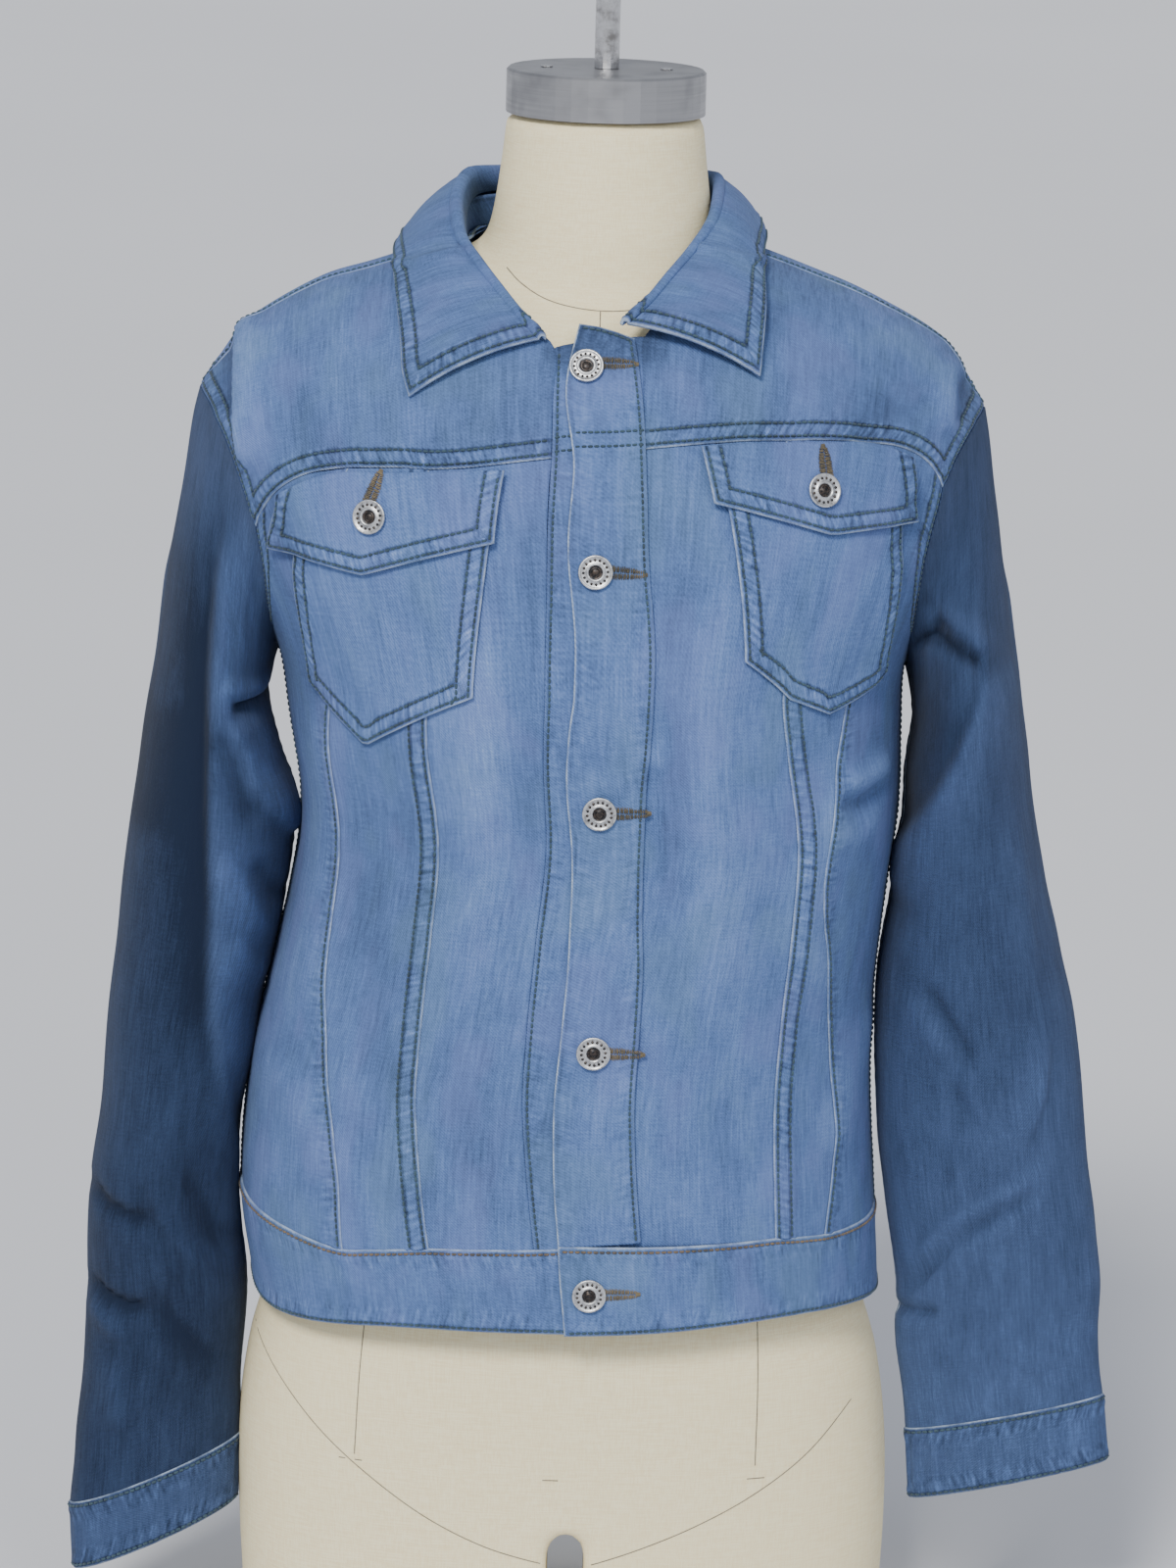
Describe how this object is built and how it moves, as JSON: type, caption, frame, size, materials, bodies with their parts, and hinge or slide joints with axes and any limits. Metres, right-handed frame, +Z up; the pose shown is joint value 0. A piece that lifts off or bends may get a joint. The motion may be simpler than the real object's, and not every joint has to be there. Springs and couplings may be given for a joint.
{
  "type": "denim jacket on a dress form",
  "caption": "Short buttoned denim jacket with point collar, flap chest pockets, hem band and cuffs, worn by a limbless dress form with a steel neck cap.",
  "frame": {"origin": "centre of the bounding box's footprint, on the ground under the form", "axes": "+Z up along the form, -Y is the jacket's front, +X is the wearer's left"},
  "size_m": [0.5394, 0.2546, 0.8676],
  "materials": {
    "denim": "washed light indigo twill, paler on seams and edges",
    "button_metal": "satin nickel tack button with a darker centre",
    "linen": "plain cream linen cover",
    "cap_steel": "brushed steel",
    "rod_chrome": "bright, slightly pitted"
  },
  "bodies": {
    "root": {"back": "denim", "back_yoke": "denim", "button_flap_left": "button_metal", "button_flap_right": "button_metal", "button_front_1": "button_metal", "button_front_2": "button_metal", "button_front_3": "button_metal", "button_front_4": "button_metal", "button_front_5": "button_metal", "cap_screw_1": "cap_steel", "cap_screw_2": "cap_steel", "collar": "denim", "collar_stand": "denim", "cuff_left": "denim", "cuff_right": "denim", "dress_form": "linen", "front_center_left": "denim", "front_center_right": "denim", "front_mid_left": "denim", "front_mid_right": "denim", "front_side_left": "denim", "front_side_right": "denim", "front_yoke_left": "denim", "front_yoke_right": "denim", "hem_band": "denim", "neck_cap": "cap_steel", "placket_top": "denim", "placket_under": "denim", "pocket_flap_left": "denim", "pocket_flap_right": "denim", "pocket_left": "denim", "pocket_right": "denim", "rod": "rod_chrome", "sleeve_back_left": "denim", "sleeve_back_right": "denim", "sleeve_front_left": "denim", "sleeve_front_right": "denim"}
  },
  "joints": []
}
